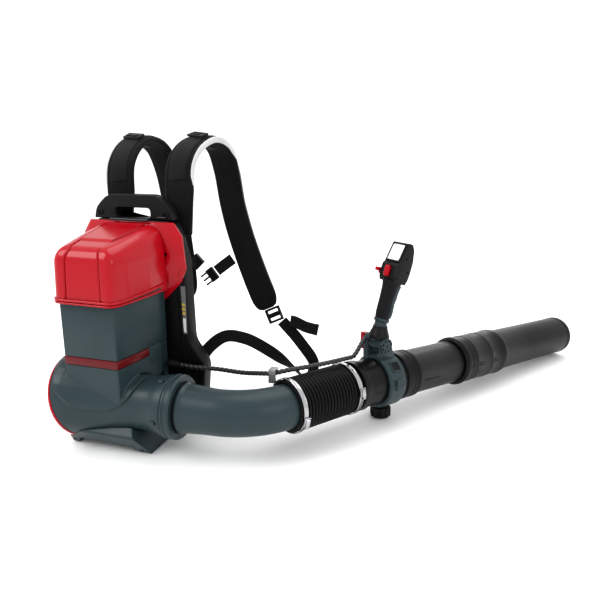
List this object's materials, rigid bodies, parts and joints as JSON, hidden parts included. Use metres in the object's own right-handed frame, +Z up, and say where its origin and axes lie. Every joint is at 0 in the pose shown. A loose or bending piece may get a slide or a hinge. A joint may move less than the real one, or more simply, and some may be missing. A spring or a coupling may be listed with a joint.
{
  "type": "backpack leaf blower",
  "caption": "Battery backpack leaf blower: fan barrel under a hooded battery tower, padded harness, elbow, bellows hose and straight blow tube with a control handle.",
  "frame": {"origin": "on the floor, under the middle of the back frame", "axes": "+Z up, +Y towards the wearer, +X to the wearer's right, the side of the blow tube"},
  "size_m": [0.989, 0.8877, 0.5643],
  "materials": {
    "red_gloss": "gloss red moulded plastic",
    "grey_satin": "satin grey-teal moulded plastic",
    "dark_red": "dark red plastic",
    "black_plastic": "fine-textured black plastic",
    "rubber": "black rubber",
    "cable_wrap": "black spiral wrap",
    "pad_fabric": "black padded fabric",
    "webbing": "black woven webbing",
    "steel": "bright steel",
    "alloy": "cast aluminium",
    "screen": "backlit display window"
  },
  "bodies": {
    "body": {"hood_surround": "red_gloss", "intake_grille": "red_gloss", "fan_housing": "grey_satin", "outlet_collar": "grey_satin", "lower_cover": "grey_satin", "battery_bay": "grey_satin", "base_foot": "grey_satin", "accent_band": "dark_red", "back_frame": "black_plastic", "carry_handle": "black_plastic", "motor_mount": "black_plastic", "cable_boot": "black_plastic", "battery_terminal": "black_plastic", "battery_pack": "black_plastic", "right_slider": "black_plastic", "left_slider": "black_plastic", "right_ladder_lock": "black_plastic", "left_ladder_lock": "black_plastic", "chest_prongs": "black_plastic", "chest_socket": "black_plastic", "cable_body": "cable_wrap", "right_strap_pad": "pad_fabric", "left_strap_pad": "pad_fabric", "back_pad": "pad_fabric", "right_webbing": "webbing", "right_web_tail": "webbing", "left_webbing": "webbing", "chest_webbing": "webbing", "hood_hinge_pin": "steel", "motor": "alloy", "controller_box": "alloy"},
    "rotor": {"motor_shaft": "steel", "impeller": "black_plastic"},
    "hood": {"battery_hood": "red_gloss"},
    "elbow": {"elbow_duct": "grey_satin", "bellows_hose": "rubber", "hose_clamp_inner": "steel", "cable_clip": "steel", "cable_hose": "cable_wrap"},
    "tube": {"hose_clamp_outer": "steel", "swivel_tube": "black_plastic", "clamp_ring_upper": "grey_satin", "clamp_ring_lower": "grey_satin", "pivot_pin": "steel", "pivot_hub": "grey_satin", "cable_handle": "cable_wrap"},
    "middle": {"middle_tube": "black_plastic"},
    "nozzle": {"nozzle_tube": "black_plastic", "nozzle_rim": "rubber"},
    "handle": {"handle_base": "grey_satin", "handle_ferrule": "grey_satin", "grip": "rubber", "control_head": "black_plastic", "display": "screen"},
    "trigger": {"trigger": "dark_red"},
    "cruise": {"cruise_lever": "red_gloss"},
    "thumb": {"thumb_button": "red_gloss"},
    "mode": {"mode_button": "red_gloss"},
    "lower_knob": {"clamp_knob": "black_plastic"},
    "side_knob": {"pivot_knob": "red_gloss"}
  },
  "joints": [
    {"name": "hood_hinge", "type": "hinge", "parent": "body", "child": "hood", "pos_m": [0, -0.033, 0.4052], "axis": [-1, 0, 0], "range_deg": [0, 80]},
    {"name": "fan_spin", "type": "hinge", "parent": "body", "child": "rotor", "pos_m": [0, -0.126, 0.088], "axis": [1, 0, 0], "continuous": true},
    {"name": "elbow_swivel", "type": "hinge", "parent": "body", "child": "elbow", "pos_m": [0.143, -0.126, 0.088], "axis": [1, 0, 0], "range_deg": [0, 60], "deforming": ["cable_body"]},
    {"name": "hose_bend", "type": "hinge", "parent": "elbow", "child": "tube", "pos_m": [0.3653, 0.0023, 0.087], "axis": [0, 0, 1], "range_deg": [-18, 18], "deforming": ["bellows_hose", "cable_hose"]},
    {"name": "tube_bayonet", "type": "hinge", "parent": "tube", "child": "middle", "pos_m": [0.48443, 0.17703, 0.07856], "axis": [0.5656, 0.823, -0.0523], "range_deg": [0, 25]},
    {"name": "nozzle_slide", "type": "slide", "parent": "middle", "child": "nozzle", "axis": [0.5656, 0.823, -0.0523], "range_m": [0, 0.045]},
    {"name": "handle_tilt", "type": "hinge", "parent": "tube", "child": "handle", "pos_m": [0.44589, 0.12095, 0.15973], "axis": [0.8241, -0.5664, 0], "range_deg": [-20, 25], "deforming": ["cable_handle"]},
    {"name": "trigger_pull", "type": "hinge", "parent": "handle", "child": "trigger", "pos_m": [0.46783, 0.15288, 0.26266], "axis": [-0.8241, 0.5664, 0], "range_deg": [0, 8], "stiffness_Nm_per_rad": 0.3},
    {"name": "cruise_turn", "type": "hinge", "parent": "handle", "child": "cruise", "pos_m": [0.44576, 0.15678, 0.29865], "axis": [0.8241, -0.5664, 0], "range_deg": [0, 45]},
    {"name": "thumb_press", "type": "slide", "parent": "handle", "child": "thumb", "axis": [0.5355, 0.7792, -0.3256], "range_m": [0, 0.0018], "stiffness_N_per_m": 600},
    {"name": "mode_press", "type": "slide", "parent": "handle", "child": "mode", "axis": [-0.5355, -0.7792, 0.3256], "range_m": [0, 0.0018], "stiffness_N_per_m": 600},
    {"name": "lower_knob_turn", "type": "hinge", "parent": "tube", "child": "lower_knob", "pos_m": [0.452, 0.12984, 0.02148], "axis": [0, 0, 1], "range_deg": [0, 180]},
    {"name": "side_knob_turn", "type": "hinge", "parent": "tube", "child": "side_knob", "pos_m": [0.44589, 0.12095, 0.15973], "axis": [0.8241, -0.5664, 0], "range_deg": [0, 180]}
  ]
}
